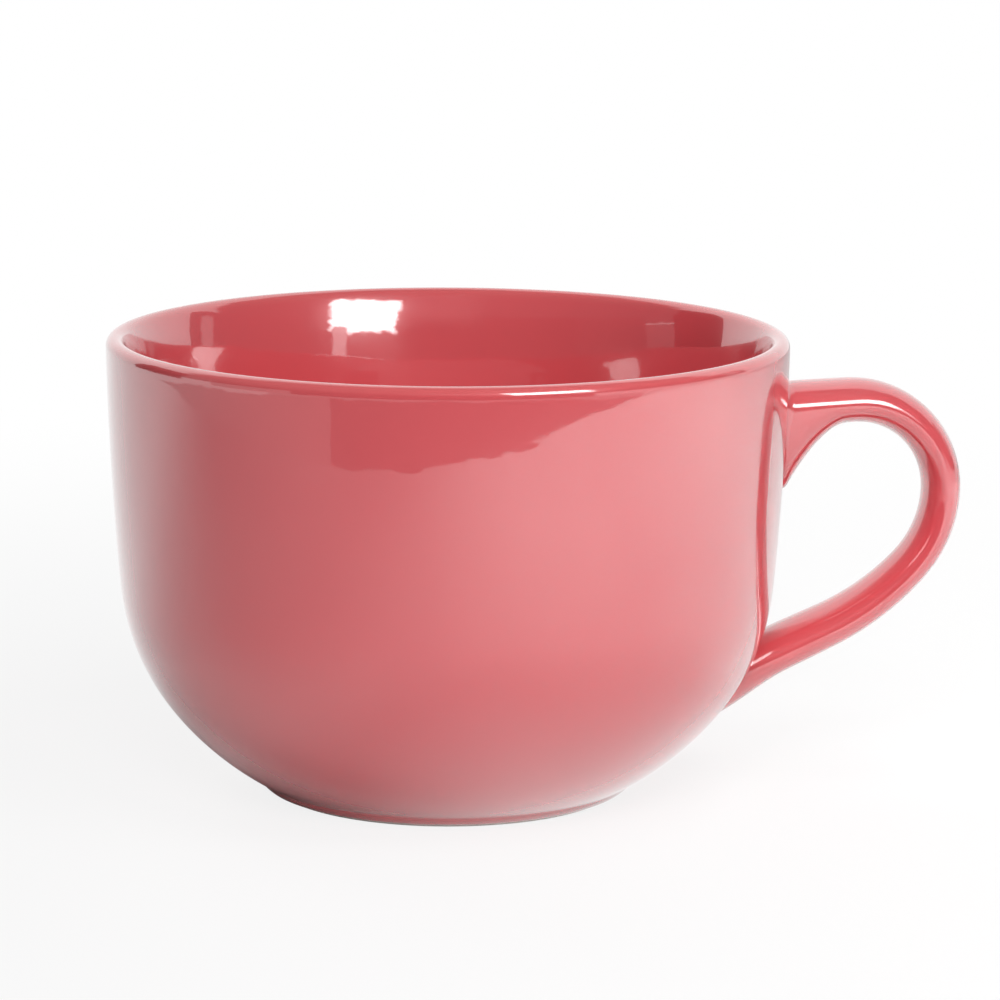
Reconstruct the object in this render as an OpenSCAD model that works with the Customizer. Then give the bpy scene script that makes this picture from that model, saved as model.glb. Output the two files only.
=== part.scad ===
// Wide soup mug of glazed stoneware: a cup turned on the wheel with a low foot, and an ear-shaped
// strap handle that is stuck to its wall with slip at two seats.
// The cup's axis is Z, the mug stands on Z = 0 and the handle points along +X. Millimetres.

/* [Cup] */
// Diameter across the outside of the rim
rim_d = 130; // [116:1:146]
// Height from the table to the top of the rim
cup_h = 88; // [80:1:104]
// Thickness of the rounded lip
lip_t = 3.6; // [2.6:0.1:4.6]
// Outward lean of the inside where it meets the lip, in degrees
lip_flare = 24; // [14:0.5:32]
// Depth below the rim at which that flare has eased off
ease_h = 8.5; // [6:0.1:11]
// Thickness of the wall below its taper
wall_t = 6.8; // [5.4:0.1:8]
// Depth below the lip at which the wall has its full thickness
taper_h = 24; // [18:0.5:32]
// Inward lean of the wall at the lip, in degrees
wall_lean = 1; // [0:0.1:3]
// How far the belly lies inside the rim, where the upright wall starts to turn under
belly_in = 2.35; // [1.5:0.05:4]
// Height of the belly
belly_z = 40.2; // [35:0.1:46]
// How far the haunch lies inside the rim, where the turn eases off towards the foot
haunch_in = 10.8; // [8:0.1:13]
// Height of the haunch
haunch_z = 18; // [15:0.1:21]
// Height of the floor inside the cup
floor_z = 8; // [6:0.1:10]

/* [Foot] */
// Outer diameter of the flat ring that stands on the table
rest_d = 66.4; // [58:0.1:76]
// Width of that flat ring
rest_w = 2.2; // [1.4:0.1:4]
// How far the top of the foot stands outside that ring
foot_flare = 3.4; // [2:0.1:5]
// Height of the foot
foot_h = 2.5; // [1.8:0.1:4]
// Inward lean of the foot's side where it starts, in degrees
foot_lean = 32; // [10:1:45]
// Depth of the recess inside the foot
recess_h = 2.2; // [1.4:0.1:3]
// Radius of the cove round the recess
cove_r = 1.2; // [0.5:0.1:1.3]
// Height up to which the foot is wiped clean of glaze
bare_h = 0.8; // [0.4:0.1:1.2]

/* [Handle] */
// Drop from the top of the rim to the handle's centre line at the upper seat
handle_drop = 14.9; // [13:0.1:18]
// Climb of the handle as it leaves the wall, in degrees
handle_climb = 3; // [0:0.5:8]
// Straight run from the wall to the first bend
handle_run = 13.5; // [11:0.1:16]
// Radius of the bend at the top of the handle
top_bend_r = 17.7; // [15:0.1:20]
// Turn of that bend, in degrees
top_bend_angle = 97; // [90:0.5:102]
// Radius of the bend at the back of the fingers
back_bend_r = 22.6; // [20:0.1:27]
// Turn of that bend, in degrees
back_bend_angle = 39; // [35:0.5:44]
// Radius of the last, easy bend towards the lower seat
tail_bend_r = 51; // [42:0.5:66]
// Turn of that bend, in degrees
tail_bend_angle = 23; // [17:0.5:28]
// Width of the strap at its middle
strap_w = 13.3; // [11:0.1:17]
// Thickness of the strap at its middle
strap_t = 7.1; // [6:0.1:9]
// Width of the strap at both seats
seat_w = 15.3; // [13:0.1:19]
// Thickness of the strap at the upper seat, without its web
upper_seat_t = 8.8; // [7.5:0.1:10]
// Thickness of the strap at the lower seat
lower_seat_t = 8.8; // [7.5:0.1:10.5]
// Depth of the web that runs down the wall under the upper seat
web_drop = 12.2; // [7:0.1:14]
// Length of the web along the handle
web_len = 11.9; // [9:0.1:13]
// How sharply the web sweeps down to the wall, 1 for a straight web
web_curve = 1.6; // [1:0.1:2.4]
// Depth of the tail that runs down the wall under the lower seat
tail_drop = 2.3; // [0.5:0.1:3]
// Length of the tail along the handle
tail_len = 17.9; // [12:0.1:20]

/* [Slip] */
// Thickness of the layer of slip between the handle and the wall
slip_t = 0.5; // [0.3:0.1:1]
// Width of the slip that is squeezed out round each seat
squeeze = 0.8; // [0.4:0.1:1.5]

/* [Hidden] */
glaze = "#d0585e";
clay = "#e6dbcd";
$fn = 180;

// Points on each bend of the cup's section, and on the round of the lip
bend_steps = 14;
lip_steps = 16;
// Sides of the strap's section, and the spacing of its sections along the handle
strap_sides = 28;
strap_step = 2;

rim_r = rim_d / 2;
lip_r = lip_t / 2;
lip_z = cup_h - lip_r;
rest_r = rest_d / 2;

// A place on the cup's wall is [radius, height, heading]. A heading of 0 runs straight down the wall and
// a level one runs towards the axis.
level_angle = 90;
function heading_vector(h) = [-sin(h), -cos(h)];
function heading_to(p, q) = atan2(p[0] - q[0], p[1] - q[1]);

// A bend of less than this, in degrees, is drawn straight
straight_angle = 0.01;

// The place at fraction f of an arc that leaves place p along its heading and ends at point q
function arc_at(p, q, f) =
    let (chord = norm([q[0] - p[0], q[1] - p[1]]))
    let (bend = heading_to(p, q) - p[2])
    let (reach = abs(bend) < straight_angle ? f * chord : chord * sin(f * bend) / sin(bend))
    let (v = reach * heading_vector(p[2] + f * bend))
    [p[0] + v[0], p[1] + v[1], p[2] + 2 * f * bend];

// The places along such an arc from fraction f to its end
function arc_to(p, q, f = 0) =
    [for (i = [1 : bend_steps]) arc_at(p, q, f + (1 - f) * i / bend_steps)];

// The point that lies a distance t outside a place on the wall
function outside(p, t) = [p[0] + t * cos(p[2]), p[1] - t * sin(p[2])];

function last(list) = list[len(list) - 1];
function reversed(list) = [for (i = [len(list) - 1 : -1 : 0]) list[i]];
function flat(list) = [for (p = list) [p[0], p[1]]];

// The radius of the outside of the cup at height z
function wall_radius(z) = lookup(z, [for (p = outer_wall) [p[1], p[0]]]);

// The outside of the cup from the lip to the foot: three arcs, each leaving the last one smoothly
lip_place = [rim_r, lip_z, wall_lean];
belly = [rim_r - belly_in, belly_z];
haunch = [rim_r - haunch_in, haunch_z];
foot_top = [rest_r + foot_flare, foot_h];
upper_wall = arc_to(lip_place, belly);
lower_wall = arc_to(last(upper_wall), haunch);
underside = arc_to(last(lower_wall), foot_top);
outer_wall = concat([lip_place], upper_wall, lower_wall, underside);

// The side of the foot starts afresh at its own lean, which leaves a crease under the cup
foot_side = arc_to([foot_top[0], foot_top[1], foot_lean], [rest_r, 0]);

// The lip, over the top from the outside until it leans as the flare inside does
lip_turn = 2 * level_angle - lip_flare;
lip_round = [for (i = [1 : lip_steps])
    let (a = lip_turn * i / lip_steps)
    [rim_r - lip_r + lip_r * cos(a), lip_z + lip_r * sin(a)]];

// The inside: the flare under the lip eases off on one arc, the wall thickens on a second, then it keeps an
// even thickness, and a last arc runs out level on the floor
taper_f = taper_h / (lip_z - belly_z);
taper_place = arc_at(lip_place, belly, taper_f);
taper_end = outside(taper_place, -wall_t);
flare_start = [last(lip_round)[0], last(lip_round)[1], lip_flare];
ease_drop = flare_start[1] - cup_h + ease_h;
taper_drop = cup_h - ease_h - taper_end[1];

// How far inwards an arc runs on its way down by h, from lean a to lean b
function run_in(h, a, b) = h * tan((a + b) / 2);

// The lean at which the two arcs meet, closer with each try
function meeting_lean(a = 0, tries = 8) =
    let (miss = flare_start[0] - taper_end[0]
        - run_in(ease_drop, lip_flare, a) - run_in(taper_drop, a, taper_place[2]))
    tries == 0 ? a : meeting_lean(a + miss / (ease_drop + taper_drop) * 360 / PI, tries - 1);

ease_end = [flare_start[0] - run_in(ease_drop, lip_flare, meeting_lean()), cup_h - ease_h];
inner_flare = arc_to(flare_start, ease_end);
inner_taper = arc_to(last(inner_flare), taper_end);
inner_upper = [for (p = arc_to(lip_place, belly, taper_f)) outside(p, -wall_t)];
inner_lower = [for (p = lower_wall) outside(p, -wall_t)];
floor_start = last(lower_wall)[2];
floor_edge = last(inner_lower);
floor_r = (floor_edge[1] - floor_z) / (1 - sin(floor_start));
floor_mid = floor_edge[0] - floor_r * cos(floor_start);
inner_floor = [for (i = [1 : bend_steps])
    let (h = floor_start + (level_angle - floor_start) * i / bend_steps)
    [floor_mid + floor_r * cos(h), floor_z + floor_r * (1 - sin(h))]];

// The recess under the cup, from the axis to the inner edge of the flat ring
recess_r = rest_r - rest_w;
recess = [for (i = [0 : bend_steps])
    let (a = level_angle * (1 - i / bend_steps))
    [recess_r - cove_r + cove_r * cos(a), recess_h - cove_r + cove_r * sin(a)]];

// The whole cup with its foot, as a half section
module cup_section() {
    polygon(concat(
        [[0, recess_h]], recess, [[recess_r, 0]],
        flat(reversed(foot_side)), flat(reversed(outer_wall)), lip_round,
        flat(inner_flare), flat(inner_taper), inner_upper, inner_lower, inner_floor, [[0, floor_z]]));
}

// The strip of that section that is wiped clean of glaze
module bare_strip() {
    translate([0, -bare_h])
        square([rim_r, 2 * bare_h]);
}

// The cup as a filled block, grown outwards by t: what the handle and its slip are cut to
module cup_block(t) {
    rotate_extrude()
        polygon(concat(
            [[0, cup_h], [rim_r + t, cup_h]],
            [for (p = outer_wall) outside(p, t)],
            [[0, foot_h - t]]));
}

// The handle's centre line is a chain of runs, each with its length and bend radius, 0 where it is straight.
// It starts inside the wall and ends inside the cup, so that both ends can be cut to the wall.
root_in = wall_t;
handle_z = cup_h - handle_drop;
handle_start = [
    wall_radius(handle_z) - root_in * cos(handle_climb),
    handle_z - root_in * sin(handle_climb),
    handle_climb];
runs = [
    [root_in + handle_run, 0],
    [arc_len(top_bend_r, top_bend_angle), top_bend_r],
    [arc_len(back_bend_r, back_bend_angle), back_bend_r],
    [arc_len(tail_bend_r, tail_bend_angle), tail_bend_r]];
bends_len = runs[0][0] + runs[1][0] + runs[2][0] + runs[3][0];

function arc_len(r, turn) = r * turn * PI / 180;

// The end of a run of length l and radius r from place p, which is [x, z, heading]
function run_end(p, l, r) =
    let (turn = r == 0 ? 0 : l / r * 180 / PI)
    let (chord = r == 0 ? l : 2 * r * sin(turn / 2))
    [p[0] + chord * cos(p[2] - turn / 2), p[1] + chord * sin(p[2] - turn / 2), p[2] - turn];

// The place at distance s along the centre line, which runs on straight after its last bend
function place_at(s, p = handle_start, i = 0) =
    i == len(runs) ? run_end(p, s, 0)
    : s <= runs[i][0] ? run_end(p, s, runs[i][1])
    : place_at(s - runs[i][0], run_end(p, runs[i][0], runs[i][1]), i + 1);

// The distance from place p straight on to the wall, closer with each try
function run_to_wall(p, l = 0, tries = 10) =
    tries == 0 ? l : run_to_wall(p, (wall_radius(p[1] + l * sin(p[2])) - p[0]) / cos(p[2]), tries - 1);

upper_seat_s = root_in;
lower_seat_s = bends_len + run_to_wall(place_at(bends_len));
handle_len = lower_seat_s + 2 * lower_seat_t;
tail_tip_s = lower_seat_s + lower_seat_t;

// A swelling that is whole up to distance 0 and has died away at distance l
function swell(d, l) = d <= 0 ? 1 : d >= l ? 0 : (1 + cos(180 * d / l)) / 2;

// The same for the web, which is steepest at the wall and runs out smoothly along the strap
function sweep(d, l) = d <= 0 ? 1 : d >= l ? 0 : pow(1 - d / l, web_curve);

// The strap grows from its middle towards both seats. Its web lies on the side of the fingers and its tail
// on the outside of the loop, so that both hang below the strap.
strap_half_len = (lower_seat_s - upper_seat_s) / 2;
function upper_swell(s) = swell(s - upper_seat_s, strap_half_len);
function lower_swell(s) = swell(lower_seat_s - s, strap_half_len);
function half_t(s) = (strap_t + (upper_seat_t - strap_t) * upper_swell(s)
    + (lower_seat_t - strap_t) * lower_swell(s)) / 2;
function half_w(s) = (strap_w + (seat_w - strap_w) * (upper_swell(s) + lower_swell(s))) / 2;
function inner_t(s) = half_t(s) + web_drop * sweep(s - upper_seat_s, web_len);
function outer_t(s) = half_t(s) + tail_drop * swell(tail_tip_s - s, tail_len);

// One section of the strap, an oval grown by g on every side
function strap_ring(s, g) =
    let (at = place_at(s))
    [for (i = [0 : strap_sides - 1])
        let (a = 360 * i / strap_sides)
        let (t = (g + (cos(a) < 0 ? inner_t(s) : outer_t(s))) * cos(a))
        [at[0] - t * sin(at[2]), (g + half_w(s)) * sin(a), at[1] + t * cos(at[2])]];

// The strap from distance s0 to s1, lofted through its sections
module strap(s0, s1, g = 0) {
    steps = ceil((s1 - s0) / strap_step);
    rings = [for (k = [0 : steps]) strap_ring(s0 + (s1 - s0) * k / steps, g)];
    n = strap_sides;
    sides = [for (k = [0 : steps - 1]) for (i = [0 : n - 1])
        [k * n + i, k * n + (i + 1) % n, (k + 1) * n + (i + 1) % n, (k + 1) * n + i]];
    first_cap = [for (i = [n - 1 : -1 : 0]) i];
    last_cap = [for (i = [0 : n - 1]) steps * n + i];
    polyhedron(points = [for (ring = rings) each ring], faces = concat([first_cap, last_cap], sides));
}

// A layer of slip on the wall, as wide as the strap and what is squeezed out round it
module slip_layer(s0, s1) {
    intersection() {
        strap(s0, s1, squeeze);
        difference() {
            cup_block(slip_t);
            cup_block(0);
        }
    }
}

module cup_body() {
    color(glaze)
        rotate_extrude()
            difference() {
                cup_section();
                bare_strip();
            }
}

module foot_ring() {
    color(clay)
        rotate_extrude()
            intersection() {
                cup_section();
                bare_strip();
            }
}

module handle() {
    color(glaze)
        difference() {
            strap(0, handle_len);
            cup_block(slip_t);
        }
}

module upper_slip() {
    color(glaze)
        slip_layer(0, upper_seat_s + web_len);
}

module lower_slip() {
    color(glaze)
        slip_layer(bends_len, handle_len);
}

cup_body();
foot_ring();
handle();
upper_slip();
lower_slip();
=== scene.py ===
"""A glazed stoneware soup mug, dressed over its CAD frame and set on a white table."""

import math

import bmesh
import bpy
from mathutils import Matrix, Vector


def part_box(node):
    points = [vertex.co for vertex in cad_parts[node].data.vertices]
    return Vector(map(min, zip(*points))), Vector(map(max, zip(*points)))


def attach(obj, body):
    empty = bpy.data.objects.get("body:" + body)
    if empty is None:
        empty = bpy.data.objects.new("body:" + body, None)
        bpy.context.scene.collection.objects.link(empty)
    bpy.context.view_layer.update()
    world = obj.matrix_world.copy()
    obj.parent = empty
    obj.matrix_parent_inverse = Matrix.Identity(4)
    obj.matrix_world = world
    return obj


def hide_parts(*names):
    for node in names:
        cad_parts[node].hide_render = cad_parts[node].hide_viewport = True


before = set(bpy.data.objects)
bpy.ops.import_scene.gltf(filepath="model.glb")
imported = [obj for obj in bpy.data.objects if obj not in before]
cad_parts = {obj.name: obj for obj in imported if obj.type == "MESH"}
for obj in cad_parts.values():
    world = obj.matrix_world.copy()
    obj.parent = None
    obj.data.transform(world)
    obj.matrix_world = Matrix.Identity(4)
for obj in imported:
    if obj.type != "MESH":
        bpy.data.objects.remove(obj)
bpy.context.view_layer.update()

bl_info = {
    "name": "Soup Mug",
    "version": (1, 0, 0),
    "blender": (4, 5, 0),
    "location": "View3D > Sidebar > Soup Mug",
    "description": "Builds a glazed soup mug with a strap handle, and the white table it is shown on",
    "category": "Add Mesh",
}

MM = 0.001
_, CUP_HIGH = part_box("cup_body")
_, FOOT_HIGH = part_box("foot_ring")
HANDLE_LOW, HANDLE_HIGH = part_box("handle")


# Properties

def length(name, description, default):
    """A size in metres."""
    return bpy.props.FloatProperty(
        name=name, description=description, default=default, precision=5, unit="LENGTH")


def angle(name, description, degrees):
    """An angle, given in degrees."""
    return bpy.props.FloatProperty(
        name=name, description=description, default=math.radians(degrees), subtype="ANGLE")


def colour(name, description, default):
    """A linear colour."""
    return bpy.props.FloatVectorProperty(
        name=name, description=description, default=default, size=3, min=0, max=1, subtype="COLOR")


def place(name, description, default):
    """A point in metres."""
    return bpy.props.FloatVectorProperty(
        name=name, description=description, default=default, size=3, precision=4, subtype="XYZ_LENGTH")


def amount(name, description, default):
    """A plain number."""
    return bpy.props.FloatProperty(name=name, description=description, default=default, precision=4)


class MugCupSizes(bpy.types.PropertyGroup):
    """The cup, from its lip to the crease above its foot."""

    rim_radius: length("Rim Radius", "Radius of the outside of the rim", CUP_HIGH.y)
    height: length("Height", "Height from the table to the top of the rim", CUP_HIGH.z)
    lip_thickness: length("Lip Thickness", "Thickness of the rounded lip", 3.6 * MM)
    lip_flare: angle("Lip Flare", "Outward lean of the inside where it meets the lip", 24)
    ease_depth: length("Ease Depth", "Depth below the rim at which that flare has eased off", 8.5 * MM)
    wall_thickness: length("Wall Thickness", "Thickness of the wall below its taper", 6.8 * MM)
    taper_depth: length(
        "Taper Depth", "Depth below the lip at which the wall has its full thickness", 24 * MM)
    wall_lean: angle("Wall Lean", "Inward lean of the wall at the lip", 1)
    belly_in: length("Belly Draw", "How far the belly lies inside the rim", 2.35 * MM)
    belly_height: length("Belly Height", "Height at which the wall turns under", 40.2 * MM)
    haunch_in: length("Haunch Draw", "How far the haunch lies inside the rim", 10.8 * MM)
    haunch_height: length("Haunch Height", "Height at which the turn eases off", 18 * MM)
    floor_height: length("Floor Height", "Height of the floor inside the cup", 8 * MM)


class MugFootSizes(bpy.types.PropertyGroup):
    """The foot and the bare ring that stands on the table."""

    rest_radius: length("Rest Radius", "Outer radius of the flat ring on the table", 33.2 * MM)
    rest_width: length("Rest Width", "Width of that flat ring", 2.2 * MM)
    flare: length("Foot Flare", "How far the top of the foot stands outside the ring", 3.4 * MM)
    height: length("Foot Height", "Height of the foot", 2.5 * MM)
    lean: angle("Foot Lean", "Inward lean of the foot's side where it starts", 32)
    recess_height: length("Recess Height", "Depth of the recess inside the foot", 2.2 * MM)
    cove_radius: length("Cove Radius", "Radius of the cove round the recess", 1.2 * MM)
    bare_radius: length("Bare Radius", "Radius at which the glaze ends", FOOT_HIGH.x)
    bare_height: length("Bare Height", "Height at which the glaze ends", FOOT_HIGH.z)
    glaze_edge: length("Glaze Edge", "Reach of the rounding at the glaze's lower edge", 0.15 * MM)
    glaze_step: length("Glaze Step", "How far the glaze stands proud of the bare clay", 0.15 * MM)


class MugHandleSizes(bpy.types.PropertyGroup):
    """The strap handle: its centre line and its sections."""

    drop: length("Drop", "Drop from the rim to the centre line at the upper seat", 14.9 * MM)
    climb: angle("Climb", "Climb of the handle as it leaves the wall", 3)
    run: length("Run", "Straight run from the wall to the first bend", 13.5 * MM)
    top_bend_radius: length("Top Bend Radius", "Radius of the bend at the top", 17.7 * MM)
    top_bend_angle: angle("Top Bend Angle", "Turn of the bend at the top", 97)
    back_bend_radius: length("Back Bend Radius", "Radius of the bend behind the fingers", 22.6 * MM)
    back_bend_angle: angle("Back Bend Angle", "Turn of the bend behind the fingers", 39)
    tail_bend_radius: length("Tail Bend Radius", "Radius of the bend to the lower seat", 51 * MM)
    tail_bend_angle: angle("Tail Bend Angle", "Turn of the bend to the lower seat", 23)
    strap_width: length("Strap Width", "Width of the strap at its middle", 13.3 * MM)
    strap_thickness: length("Strap Thickness", "Thickness of the strap at its middle", 7.1 * MM)
    seat_width: length("Seat Width", "Width of the strap at both seats", HANDLE_HIGH.y - HANDLE_LOW.y)
    upper_seat_thickness: length("Upper Seat", "Thickness at the upper seat", 8.8 * MM)
    lower_seat_thickness: length("Lower Seat", "Thickness at the lower seat", 8.8 * MM)
    web_drop: length("Web Drop", "Depth of the web under the upper seat", 12.2 * MM)
    web_length: length("Web Length", "Length of the web along the handle", 11.9 * MM)
    web_curve: amount("Web Curve", "How sharply the web sweeps down to the wall", 1.6)
    tail_drop: length("Tail Drop", "Depth of the tail under the lower seat", 2.3 * MM)
    tail_length: length("Tail Length", "Length of the tail along the handle", 17.9 * MM)


class MugSlipSizes(bpy.types.PropertyGroup):
    """The slip that joins the handle to the wall."""

    fillet: length("Fillet", "Reach of the slip's fillet on the wall and on the strap", 0.9 * MM)
    feather: length("Feather", "How far the fillet runs on under both surfaces", 2.4 * MM)
    feather_sink: length("Feather Sink", "How deep its edges lie under both surfaces", 0.06 * MM)
    sink: length("Sink", "How far each joint runs into the wall", 1 * MM)


class MugGlazeLook(bpy.types.PropertyGroup):
    """The colours of the glaze and the clay, and how uneven they are."""

    glaze_red: colour("Glaze Red", "Colour of the glaze where it lies thick", (0.62, 0.072, 0.085))
    # Besides the clouds, this paler colour goes at the top of the lip, where it is partly thinner glaze and
    # partly a painted highlight.
    glaze_thin_and_highlight: colour("Thin Glaze", "Colour of the glaze where it has run thin", (0.66, 0.115, 0.12))
    # This darker red goes in the middle of the slip fillets, in the crease between handle and wall: pooled
    # glaze and painted shade.
    glaze_pool_and_shade: colour("Pooled Glaze", "Colour of the glaze where it has pooled", (0.42, 0.03, 0.04))
    speck: colour("Speck", "Colour of the pinholes in the glaze", (0.80, 0.50, 0.44))
    clay: colour("Clay", "Colour of the bare clay", (0.82, 0.74, 0.66))
    clay_dark: colour("Dark Clay", "Colour of the clay's darker grain", (0.62, 0.52, 0.43))
    coat_roughness: amount("Coat Roughness", "Roughness of the clear skin of the glaze", 0.03)
    coat_ior: amount("Coat IOR", "Refractive index of that skin, which sets how much it mirrors", 2.0)
    clouds: amount("Clouds", "Share of the thin colour in the glaze's clouds", 0.22)
    # The paler top of the lip is partly thinner glaze and partly a painted highlight.
    thin_and_highlit_lip: amount("Thin Lip", "Share of the thin colour at the top of the lip", 0.7)
    thin_and_highlight_depth: length("Thin Depth", "Depth below the rim at which the lip's thin colour ends", 2.2 * MM)
    ripple: length("Ripple", "Height of the ripples in the glaze", 0.06 * MM)
    clay_clouds: amount("Clay Clouds", "Share of the darker grain in the clay's clouds", 0.6)
    grain: length("Grain", "Height of the clay's grain", 0.08 * MM)


class MugStageSizes(bpy.types.PropertyGroup):
    """The table, the room and the camera."""

    turn: angle("Turn", "How far the handle points away from the camera", 7.8)
    camera_place: place("Camera Place", "Where the camera stands before the turn", (0, -0.850, 0.2156))
    camera_pitch: angle("Camera Pitch", "How far the camera looks down", 10.646)
    camera_yaw: angle("Camera Yaw", "How far the camera looks to the right", 0.676)
    camera_roll: angle("Camera Roll", "How far the camera leans to the left", 0.315)
    camera_lens: amount("Camera Lens", "Focal length in millimetres", 162.65)
    table_centre: place("Table Centre", "Centre of the table's round front", (0.09, 0.235, 0))
    table_radius: length("Table Radius", "Radius of the table's round front", 0.60)
    table_back: length("Table Back", "How far the table reaches behind the mug", 4.0)
    shadow_near: length("Shadow Near", "Distance up to which the shadow keeps its whole share", 0.10)
    shadow_far: length("Shadow Far", "Distance at which the table has turned plain white", 0.45)
    shadow_share: amount("Shadow Share", "Share of the shadow that shows beside the mug", 0.15)
    room_light: amount("Room Light", "Strength of the even light from the room", 0.09)
    flat_radius: length("Flat Radius", "Distance of the studio flats from the mug", 1.6)
    # Painted shade and painted light: the table's colour is darker on the left and paler on the right, as
    # the light falls.
    table_painted_shade_left: amount("Table Left", "How pale the table is on the left", 0.54)
    table_painted_light_right: amount("Table Right", "How pale the table is on the right", 0.96)


# Sections drawn with arcs

def wrapped(turn):
    """An angle brought between half a turn back and half a turn on."""
    return math.remainder(turn, math.tau)


def heading_vector(heading):
    """The direction of a heading in the XZ plane, measured from +X towards +Z."""
    return Vector((math.cos(heading), math.sin(heading)))


def downward(lean):
    """The heading of a line that runs down and leans in by an angle, or the lean of such a heading."""
    return -math.pi / 2 - lean


class Arc:
    """A round stretch of a section that leaves start along heading and ends at end."""

    def __init__(self, start, heading, end):
        chord = end - start
        half_turn = wrapped(math.atan2(chord.y, chord.x) - heading)
        self.start, self.end = start, end
        self.turn = 2 * half_turn
        self.radius = chord.length / (2 * math.sin(half_turn))
        self.centre = start + self.radius * Vector((-math.sin(heading), math.cos(heading)))
        self.end_heading = heading + self.turn

    def at(self, share):
        """The point and heading at a share of the arc's turn."""
        heading = self.end_heading - self.turn * (1 - share)
        return self.centre + self.radius * Vector((math.sin(heading), -math.cos(heading))), heading

    def radius_at(self, height):
        """Where the arc lies at a height, on its outer side."""
        return self.centre.x + math.sqrt(self.radius ** 2 - (height - self.centre.y) ** 2)


class Pen:
    """Draws a half section in the XZ plane as one chain of edges."""

    def __init__(self, bm, point, heading):
        self.bm = bm
        self.vert = bmesh.ops.create_vert(bm, co=(point.x, 0, point.y))["vert"][0]
        self.heading = heading

    def point(self):
        """Where the pen stands."""
        return Vector((self.vert.co.x, self.vert.co.z))

    def arc_to(self, end, steps):
        """An arc that leaves along the pen's heading."""
        arc = Arc(self.point(), self.heading, end)
        made = bmesh.ops.spin(
            self.bm, geom=[self.vert], cent=(arc.centre.x, 0, arc.centre.y), axis=(0, -1, 0),
            angle=arc.turn, steps=steps)
        self.vert = next(g for g in made["geom_last"] if isinstance(g, bmesh.types.BMVert))
        self.heading = arc.end_heading

    def line_to(self, end, steps):
        """A straight line."""
        way = (end - self.point()) / steps
        self.heading = math.atan2(way.y, way.x)
        for _ in range(steps):
            self.vert = bmesh.ops.extrude_vert_indiv(self.bm, verts=[self.vert])["verts"][0]
            bmesh.ops.translate(self.bm, verts=[self.vert], vec=(way.x, 0, way.y))


def outside(point, heading, distance):
    """The point at a distance outside a place on the wall, whose heading runs down the wall."""
    return point + distance * Vector((-math.sin(heading), math.cos(heading)))


def outer_wall(cup, foot):
    """The three arcs of the outside of the cup, from the lip down to the foot."""
    lip = Vector((cup.rim_radius, cup.height - cup.lip_thickness / 2))
    belly = Vector((cup.rim_radius - cup.belly_in, cup.belly_height))
    haunch = Vector((cup.rim_radius - cup.haunch_in, cup.haunch_height))
    foot_top = Vector((foot.rest_radius + foot.flare, foot.height))
    upper = Arc(lip, downward(cup.wall_lean), belly)
    lower = Arc(belly, upper.end_heading, haunch)
    under = Arc(haunch, lower.end_heading, foot_top)
    return upper, lower, under


def wall_arc(wall, height):
    """The arc of the outside of the cup at a height."""
    return next((arc for arc in wall if height >= arc.end.y), wall[-1])


def wall_radius(wall, height):
    """The radius of the outside of the cup at a height."""
    arc = wall_arc(wall, height)
    return arc.radius_at(min(max(height, arc.end.y), arc.start.y))


def wall_normal(wall, point):
    """The outward normal of the cup's outside beside a point."""
    arc = wall_arc(wall, point.z)
    flat = Vector((math.hypot(point.x, point.y), min(point.z, arc.start.y))) - arc.centre
    around = math.atan2(point.y, point.x)
    return Vector((flat.x * math.cos(around), flat.x * math.sin(around), flat.y)).normalized()


# Meshes

WELD = 0.001 * MM
ROUNDING_LEVELS = 1


def turned(bm, steps):
    """Spins a section round the Z axis and closes its seam and poles."""
    bmesh.ops.spin(
        bm, geom=bm.verts[:] + bm.edges[:], cent=(0, 0, 0), axis=(0, 0, 1), angle=math.tau,
        steps=steps, use_merge=True)
    bmesh.ops.remove_doubles(bm, verts=bm.verts, dist=WELD)


def rounded_share(turn):
    """The share of its radius that an arc keeps when the rounding of a piece smooths it.

    The turn is the angle between two neighbouring points of the arc.
    """
    return (3 + math.cos(turn)) / 4


def piece(name, bm, material, nodes):
    """A finished piece with smooth faces that stands for its CAD nodes."""
    mesh = bpy.data.meshes.new(name)
    bmesh.ops.recalc_face_normals(bm, faces=bm.faces)
    if bm.calc_volume(signed=True) < 0:
        bmesh.ops.reverse_faces(bm, faces=bm.faces)
    for face in bm.faces:
        face.smooth = True
    bm.to_mesh(mesh)
    bm.free()
    obj = bpy.data.objects.new(name, mesh)
    bpy.context.scene.collection.objects.link(obj)
    mesh.materials.append(material)
    rounding = obj.modifiers.new("Rounding", "SUBSURF")
    rounding.levels = ROUNDING_LEVELS
    rounding.render_levels = ROUNDING_LEVELS
    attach(obj, "root")
    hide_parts(*nodes)


# Handle

STRAP_SIDES = 80
STRAP_RINGS = 110
# Steps over which a slope of the surface is measured
SMALL_TURN = 0.01
SMALL_STEP = 0.1 * MM
# Rounds after which a place that is found step by step has settled
SETTLING_STEPS = 10
HALVING_STEPS = 40
# Digits of an angle that tell one line along the strap from the next
ANGLE_DIGITS = 4


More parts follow.
